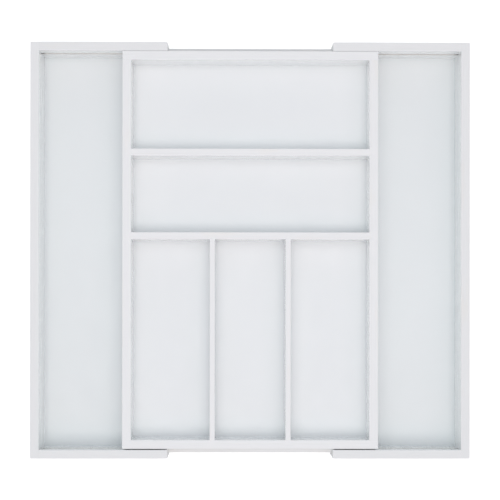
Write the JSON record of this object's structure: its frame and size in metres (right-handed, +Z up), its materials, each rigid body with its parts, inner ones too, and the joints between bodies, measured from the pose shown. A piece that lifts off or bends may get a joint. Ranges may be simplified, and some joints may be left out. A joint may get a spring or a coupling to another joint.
{
  "type": "extending cutlery tray",
  "caption": "Painted wooden cutlery tray: a centre tray with long and wide compartments between two side trays that slide out on tongues and grooves to widen it.",
  "frame": {"origin": "on the surface that the tray stands on, under the middle of the open tray", "axes": "+X to the right along the way the side trays slide, +Y to the back where the wide compartments are, +Z up"},
  "size_m": [0.475, 0.45, 0.056],
  "materials": {
    "painted_rails": "satin white paint over wood",
    "painted_dividers": "satin white paint over thin board",
    "painted_floors": "smooth white paint over thin board",
    "tongue_strips": "thin white paint over a wooden strip",
    "dowel_wood": "bare beech"
  },
  "bodies": {
    "centre_tray": {"centre_back_rail": "painted_rails", "centre_front_rail": "painted_rails", "centre_left_rail": "painted_rails", "centre_right_rail": "painted_rails", "centre_floor": "painted_floors", "cross_divider_back": "painted_dividers", "cross_divider_front": "painted_dividers", "long_divider_left": "painted_dividers", "long_divider_right": "painted_dividers", "tongue_strip_back": "tongue_strips", "tongue_strip_front": "tongue_strips", "centre_corner_dowels": "dowel_wood"},
    "left_tray": {"left_end_rail": "painted_rails", "left_back_rail": "painted_rails", "left_front_rail": "painted_rails", "left_floor": "painted_floors", "left_corner_dowels": "dowel_wood"},
    "right_tray": {"right_end_rail": "painted_rails", "right_back_rail": "painted_rails", "right_front_rail": "painted_rails", "right_floor": "painted_floors", "right_corner_dowels": "dowel_wood"}
  },
  "joints": [
    {"name": "left_slide", "type": "slide", "parent": "centre_tray", "child": "left_tray", "axis": [-1, 0, 0], "range_m": [-0.089, 0]},
    {"name": "right_slide", "type": "slide", "parent": "centre_tray", "child": "right_tray", "axis": [1, 0, 0], "range_m": [-0.089, 0]}
  ]
}
